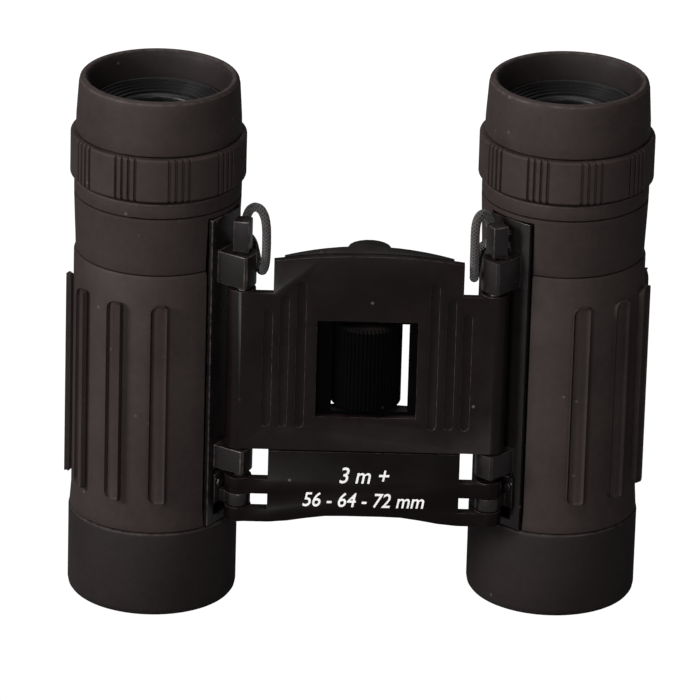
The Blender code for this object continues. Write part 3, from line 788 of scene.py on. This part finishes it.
def prism_glass():
    finish = Finish("prism_glass")
    colour = finish.group("mottle", Dark=(0.62, 0.66, 0.68, 1), Light=(0.72, 0.76, 0.78, 1), Scale=60.0)
    finish.link(colour["Colour"], "Base Color")
    ground = finish.group("grain", Scale=1500.0, Roughness=0.06, Spread=0.04)
    finish.link(ground["Roughness"], "Roughness")
    finish.set(Transmission_Weight=0.9, IOR=1.57)
    return finish.material


def braided_cord():
    finish = Finish("braided_cord")
    tree = finish.tree
    strands = finish.group("braid", Scale=620.0)["Height"]
    # The strands' crests are lighter: partly the strands' own tone, partly a painted highlight along the
    # braid
    colour = mix_colour(tree, strands, (0.002, 0.0017, 0.0017, 1), (0.050, 0.043, 0.041, 1))
    fluff = finish.group("dust", Scale=900.0, Specks=0.5, Film=0.05)["Mask"]
    finish.link(mix_colour(tree, fluff, colour, DUST_COLOUR), "Base Color")
    surface = finish.group("grain", Scale=6000.0, Roughness=0.75, Spread=0.1)
    finish.link(surface["Roughness"], "Roughness")
    finish.set(Specular_IOR_Level=0.25, Sheen_Weight=0.2)
    finish.bump(strands, 0.25, 0.9)
    return finish.material


def print_ink():
    """White pad-printed ink, a little thin in places."""
    finish = Finish("print_ink")
    colour = finish.group("mottle", Dark=(0.70, 0.69, 0.67, 1), Light=(0.90, 0.89, 0.87, 1), Scale=700.0)
    finish.link(colour["Colour"], "Base Color")
    surface = finish.group("grain", Scale=4000.0, Roughness=0.5, Spread=0.08)
    finish.link(surface["Roughness"], "Roughness")
    finish.bump(surface["Height"], 0.004)
    return finish.material


# Turned pieces of a barrel


def make_armour(barrel, look):
    low, high = heights(barrel.name("armour"))
    outline = (
        (SKIN_INNER, low),
        (ARMOUR_RADIUS + ARMOUR_FLARE, low),
        (ARMOUR_RADIUS + ARMOUR_FLARE * 0.6, low + 1.4),
        (ARMOUR_RADIUS, low + 3.6),
        (ARMOUR_RADIUS, high - 0.5),
        (ARMOUR_RADIUS - 0.3, high),
        (SKIN_INNER, high),
    )
    armour = lathe(barrel.name("ribbed_armour"), outline, barrel.axis)
    cut_spine_slot(armour, barrel)
    soften_edges(armour, 0.18)
    join(armour, [copy_rib(barrel, index) for index in range(RIB_COUNT)])
    smooth(armour)
    dress(armour, look, "rubber", barrel.body, barrel.name("armour"))


def cut_spine_slot(piece, barrel):
    near, far, half = SPINE_SLOT
    _, top = heights(barrel.name("hinge_spine"))
    out = Vector((math.cos(barrel.to_hinge), math.sin(barrel.to_hinge)))
    middle = barrel.axis + out * (near + far) / 2
    cutter = cutting_box((*middle, top / 2), (far - near, 2 * half, top + 0.6), barrel.to_hinge)
    cut_away(piece, cutter)


def make_master_rib():
    """One rib at the origin: a bar with round ends and softly rounded shoulders."""
    low, high = RIB_Z
    size = Vector((RIB_OUTER - RIB_INNER, RIB_WIDTH, high - low))
    centre = ((RIB_INNER + RIB_OUTER) / 2, 0, (low + high) / 2)
    rib = cutting_box(centre, size)
    rib.name = "master_rib"
    start_editing(rib)
    across = 0.9 * size.x * MM
    select_edges(rib, lambda a, b: abs(a.x - b.x) > across)
    bpy.ops.mesh.bevel(offset=RIB_WIDTH / 2 * 0.98 * MM, segments=10, affect="EDGES")
    face_x = RIB_OUTER * MM - 1e-6
    select_edges(rib, lambda a, b: a.x > face_x and b.x > face_x)
    bpy.ops.mesh.bevel(offset=0.55 * MM, segments=5, affect="EDGES")
    stop_editing()
    return rib


def copy_rib(barrel, index):
    rib = master_rib.copy()
    rib.data = master_rib.data.copy()
    bpy.context.scene.collection.objects.link(rib)
    turn = barrel.outwards(RIB_FIRST + index * RIB_STEP)
    rib.data.transform(Matrix.Rotation(turn, 4, "Z"))
    rib.data.transform(Matrix.Translation(Vector((*barrel.axis, 0)) * MM))
    return rib


def make_neck(barrel, look):
    low, high = heights(barrel.name("neck_band"))
    outline = (
        (SKIN_INNER, low),
        (15.0, low),
        (15.05, low + 1.8),
        (15.2, (low + high) / 2),
        (15.38, high - 0.7),
        (15.38, high),
        (SKIN_INNER, high),
    )
    neck = lathe(barrel.name("rubber_neck"), outline, barrel.axis)
    cut_spine_slot(neck, barrel)
    soften_edges(neck, 0.15)
    dress(neck, look, "rubber", barrel.body, barrel.name("neck_band"))


def make_seat(barrel, look):
    low, high = heights(barrel.name("seat_band"))
    outline = ((12.9, low), (15.4, low), (15.4, high), (12.9, high))
    seat = lathe(barrel.name("eyepiece_seat"), outline, barrel.axis)
    soften_edges(seat, 0.2)
    dress(seat, look, "rubber", barrel.body, barrel.name("seat_band"))


def ring_body(barrel):
    return "dioptre_ring" if barrel.ending == "left" else barrel.body


def eyepiece_body(barrel):
    return "eyepiece_left" if barrel.ending == "left" else barrel.body


def in_ring_groove(index):
    """Each group has four grooves with lands of the same width between them."""
    place = index % (RING_STEPS // RING_GROUPS)
    if place >= (2 * RING_GROOVES - 1) * GROOVE_STEPS:
        return False
    return 0 < place % (2 * GROOVE_STEPS) < GROOVE_STEPS


def make_ring(barrel, look):
    z_range = heights(barrel.name("grip_ring"))
    name = barrel.name("grooved_ring")
    ring = fluted(
        name, RING_RADIUS, z_range, RING_STEPS, GROOVE_DEPTH, in_ring_groove, barrel.axis,
        RING_CHAMFER, RING_TURN,
    )
    bore_out(ring, RING_BORE, barrel.axis, z_range)
    smooth(ring)
    dress(ring, look, "rubber", ring_body(barrel), barrel.name("grip_ring"))


def make_eyecup(barrel, look, inside):
    low, high = heights(barrel.name("eyecup"))
    outline = (
        (12.6, low),
        (15.2, low),
        (15.15, low + 2.6),
        (14.95, low + 5.8),
        (14.75, high - 1.4),
        (14.55, high - 0.45),
        (14.2, high - 0.1),
        (13.8, high),
        (13.35, high - 0.15),
        (13.0, high - 0.6),
        (12.8, high - 1.3),
        (12.65, high - 2.6),
        (12.6, high - 4.6),
    )
    cup = lathe(barrel.name("rubber_eyecup"), outline, barrel.axis)
    soften_edges(cup, 0.2)
    dress(cup, look, "rubber", ring_body(barrel), barrel.name("eyecup"))
    # The cup's inner wall is darkened as painted shade
    shade_cup_inside_painted(cup, barrel, inside)


def shade_cup_inside_painted(cup, barrel, look):
    """Gives the eyecup's inner wall the darker cap rubber, as painted shade inside the cup."""
    cup.data.materials.append(look)
    for face in cup.data.polygons:
        inwards = (barrel.axis - face.center.xy / MM).normalized()
        face.material_index = int(face.normal.xy.dot(inwards) > SHADED_INSIDE_FACING)


def make_housing(barrel, look):
    low, high = heights(barrel.name("eyepiece_housing"))
    outline = [(10.6, low), (12.3, low), (12.3, high - 0.3), (11.9, high)]
    for step in range(HOUSING_STEPS):
        radius = HOUSING_STEP_RADIUS - HOUSING_STEP_WIDTH * step
        depth = high - HOUSING_STEP_FALL - HOUSING_STEP_FALL * step
        outline += [(radius, depth + HOUSING_STEP_FALL / 2), (radius, depth - HOUSING_STEP_FALL / 2)]
    outline += [(8.6, high - 1.4), (8.6, high - 3.5), (7.6, high - 3.5)]
    outline += [(7.6, low + 3.2), (10.6, low + 3.2)]
    housing = lathe(barrel.name("stepped_housing"), outline, barrel.axis)
    smooth(housing)
    dress(housing, look, "matt_black", eyepiece_body(barrel), barrel.name("eyepiece_housing"))


def make_lens_retainer(barrel, look):
    low, high = heights(barrel.name("eye_lens_retainer"))
    outline = ((6.9, low), (8.3, low), (8.3, high), (7.5, high), (7.0, high - 0.35), (6.9, high - 0.6))
    retainer = lathe(barrel.name("slotted_retainer"), outline, barrel.axis)
    x, y = barrel.axis
    cut_away(retainer, cutting_box((x, y, high), (18.0, 0.8, 0.7)))
    soften_edges(retainer, 0.06, 2)
    dress(retainer, look, "matt_black", eyepiece_body(barrel), barrel.name("eye_lens_retainer"))


def lens_outline(radius, edge_low, edge_high, low_bulge, high_bulge):
    """A round lens with a bulge at each face, from the foot's middle to the top's."""
    parts = [step / LENS_STEPS for step in range(LENS_STEPS + 1)]
    below = [(radius * part, edge_low - low_bulge * (1 - part**2)) for part in parts]
    above = [(radius * part, edge_high + high_bulge * (1 - part**2)) for part in parts]
    return below + above[::-1]


def make_lenses(barrel, look):
    low, high = heights(barrel.name("eye_lens"))
    outline = lens_outline(7.3, low + 0.8, high - 1.1, 0.8, 1.1)
    eye = lathe(barrel.name("curved_eye_lens"), outline, barrel.axis)
    smooth(eye)
    dress(eye, look, "glass", eyepiece_body(barrel), barrel.name("eye_lens"))
    low, high = heights(barrel.name("objective_lens"))
    outline = lens_outline(10.6, low + 1.3, high - 0.3, 1.3, 0.3)
    front = lathe(barrel.name("curved_objective"), outline, barrel.axis)
    smooth(front)
    body = f"objective_{barrel.ending}"
    dress(front, look, "glass", body, barrel.name("objective_lens"))


def make_cap(barrel, look):
    _, high = heights(barrel.name("objective_cap"))
    outline = (
        (12.4, 0.0),
        (14.7, 0.0),
        (15.25, 0.2),
        (15.6, 0.7),
        (CAP_RADIUS, 1.5),
        (CAP_RADIUS, high - 0.7),
        (CAP_RADIUS - 0.12, high - 0.2),
        (CAP_RADIUS - 0.4, high),
        (SKIN_INNER, high),
        (SKIN_INNER, 1.7),
        (11.8, 1.7),
        (11.8, 0.6),
    )
    cap = lathe(barrel.name("rubber_cap"), outline, barrel.axis)
    soften_edges(cap, 0.12)
    dress(cap, look, "rubber", barrel.body, barrel.name("objective_cap"))


# Bridge, hinges and focus


def make_moulded(looks):
    """The moulded pieces that keep their node's shape and get rounded edges."""
    for name, node, look, slot, body, width in (
        ("moulded_front", "bridge_front_cover", "bridge", "bridge_plastic", "bridge", 0.16),
        ("moulded_rear", "bridge_rear_cover", "rear", "bridge_plastic", "bridge", 0.12),
        ("moulded_plate", "focus_plate", "plate", "bridge_plastic", "focus_plate", 0.14),
    ):
        dress(from_node(name, node, width), looks[look], slot, body, node)
    for barrel in barrels:
        for name, part, width in (
            ("moulded_spine", "hinge_spine", 0.14),
            ("moulded_post", "strap_post", 0.16),
        ):
            piece = from_node(barrel.name(name), barrel.name(part), width)
            dress(piece, looks["hinge"], "hinge_plastic", barrel.body, barrel.name(part))
        arm = from_node(barrel.name("moulded_arm"), barrel.name("focus_arm"), 0.1)
        dress(arm, looks["hinge"], "hinge_plastic", f"objective_{barrel.ending}", barrel.name("focus_arm"))


def shade_recess_painted(look):
    """Gives the rear cover's faces behind the window the wheel's dead black, as painted shade in the
    recess.
    """
    cover = bpy.data.objects["moulded_rear"]
    cover.data.materials.append(look)
    middle, _ = wheel_axis()
    for face in cover.data.polygons:
        jamb = abs(face.normal.x) > JAMB_FACING and abs(face.center.x / MM - middle) < RECESS_REACH
        face.material_index = int(face.normal.y < FRONT_FACING or jamb)


def wheel_axis():
    low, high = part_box("focus_wheel")
    return ((low + high) / 2).xy / MM


def in_flute(index):
    """The wheel's flutes and lands are as wide as each other."""
    return index % FLUTE_STEPS < FLUTE_STEPS // 2


def make_wheel(look):
    z_range = heights("focus_wheel")
    axis = wheel_axis()
    steps = FLUTE_STEPS * WHEEL_FLUTES
    wheel = fluted("fluted_wheel", WHEEL_RADIUS, z_range, steps, FLUTE_DEPTH, in_flute, axis, WHEEL_CHAMFER)
    bore_out(wheel, WHEEL_BORE, axis, z_range)
    smooth(wheel)
    dress(wheel, look, "matt_black", "focus_wheel", "focus_wheel")


def make_print(look):
    low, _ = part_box("focus_plate")
    middle, _ = wheel_axis()
    front = low.y - PRINT_THICKNESS * MM / 2
    for number, (words, size, foot) in enumerate(PRINT_LINES, 1):
        bpy.ops.object.select_all(action="DESELECT")
        bpy.ops.object.text_add(rotation=(math.pi / 2, 0, 0))
        line = bpy.context.active_object
        line.data.body = words
        line.data.size = size * MM
        line.data.shear = PRINT_SLANT
        line.data.offset = PRINT_WEIGHT * MM
        line.data.extrude = PRINT_THICKNESS * MM / 2
        line.data.align_x = "CENTER"
        bpy.ops.object.convert(target="MESH")
        line = new_piece(f"plate_print_{number}")
        line.location = (middle * MM, front, foot * MM)
        line.scale.x = PRINT_NARROWING
        settle(line)
        dress(line, look, "bridge_plastic", "focus_plate")


# Floor and light


def make_floor():
    """A plain floor that shows white and throws only a little light back."""
    bpy.ops.object.select_all(action="DESELECT")
    bpy.ops.mesh.primitive_plane_add(size=FLOOR_SIZE, location=(0, 0, FLOOR_LEVEL))
    floor = new_piece("studio_floor")
    finish = Finish("studio_floor")
    tree = finish.tree
    colour = finish.group("mottle", Dark=(0.17, 0.17, 0.17, 1), Light=(0.20, 0.20, 0.20, 1), Scale=3.0)
    finish.link(colour["Colour"], "Base Color")
    finish.set(Roughness=0.9, Specular_IOR_Level=0.1)
    white = tree.nodes.new("ShaderNodeEmission")
    white.inputs["Strength"].default_value = FLOOR_WHITE
    seen_white(tree, finish.shader.outputs[0], white.outputs[0], tree.nodes["Material Output"])
    floor.data.materials.append(finish.material)


def seen_white(tree, lit, white, output):
    """Shows one shader to the camera and the other to everything else."""
    choose = tree.nodes.new("ShaderNodeMixShader")
    tree.links.new(tree.nodes.new("ShaderNodeLightPath").outputs["Is Camera Ray"], choose.inputs[0])
    tree.links.new(lit, choose.inputs[1])
    tree.links.new(white, choose.inputs[2])
    tree.links.new(choose.outputs[0], output.inputs["Surface"])


def add_light(name, place, size, power):
    data = bpy.data.lights.new(name, "AREA")
    data.size = size
    data.energy = power
    light = bpy.data.objects.new(name, data)
    bpy.context.scene.collection.objects.link(light)
    light.location = place
    light.rotation_euler = (CAMERA_TARGET - Vector(place)).to_track_quat("-Z", "Y").to_euler()


def light_studio():
    for name, place, size, power in LIGHTS:
        add_light(name, place, size, power)
    world = bpy.data.worlds.new("studio_air")
    world.use_nodes = True
    tree = world.node_tree
    dim = tree.nodes["Background"]
    white = tree.nodes.new("ShaderNodeBackground")
    for background, strength in ((dim, AIR_LIGHT), (white, FLOOR_WHITE)):
        background.inputs["Color"].default_value = (1, 1, 1, 1)
        background.inputs["Strength"].default_value = strength
    seen_white(tree, dim.outputs[0], white.outputs[0], tree.nodes["World Output"])
    bpy.context.scene.world = world
    bpy.context.scene.view_settings.view_transform = "Standard"


# The nodes that keep their own mesh


def finish_nodes(looks):
    plain = {
        "barrel_tube": "alloy",
        "prism_seat": "alloy",
        "objective_sleeve": "alloy",
        "objective_retainer": "eyepiece",
        "field_lens": "lens",
        "half_penta_prism": "prism",
        "roof_prism": "prism",
        "hinge_pin": "steel",
        "arm_screw": "steel",
        "fork_pin": "steel",
        "cover_screw": "steel",
        "focus_shaft": "steel",
    }
    for name, node in frame["nodes"].items():
        for part, look in plain.items():
            if name.startswith(part):
                node.data.materials.clear()
                node.data.materials.append(looks[look])


groups = {
    "mottle": mottle_group(),
    "grain": grain_group(),
    "edge_wear_and_highlight": edge_wear_group(),
    "dust": dust_group(),
    "scratches": scratch_group(),
    "braid": braid_group(),
}
looks = {
    "armour": armour_rubber(),
    "grip": grip_rubber(),
    "cap": cap_rubber(),
    "bridge": bridge_plastic(),
    "plate": plate_shaded_plastic(),
    "rear": rear_plastic(),
    "hinge": hinge_plastic(),
    "wheel": wheel_plastic(),
    "eyepiece": eyepiece_black(),
    "alloy": black_alloy(),
    "steel": bright_steel(),
    "lens": coated_lens(),
    "prism": prism_glass(),
    "cord": braided_cord(),
    "ink": print_ink(),
}
barrels = (Barrel("left", 1), Barrel("right", -1))

place_camera()
for barrel in barrels:
    make_strap_loop(barrel, looks["cord"])

master_rib = make_master_rib()
for barrel in barrels:
    make_armour(barrel, looks["armour"])
    make_neck(barrel, looks["armour"])
    make_seat(barrel, looks["grip"])
    make_ring(barrel, looks["grip"])
    make_eyecup(barrel, looks["grip"], looks["cap"])
    make_housing(barrel, looks["eyepiece"])
    make_lens_retainer(barrel, looks["eyepiece"])
    make_lenses(barrel, looks["lens"])
    make_cap(barrel, looks["cap"])
bpy.data.objects.remove(master_rib, do_unlink=True)

make_moulded(looks)
shade_recess_painted(looks["wheel"])
make_wheel(looks["wheel"])
make_print(looks["ink"])
finish_nodes(looks)
make_floor()
light_studio()
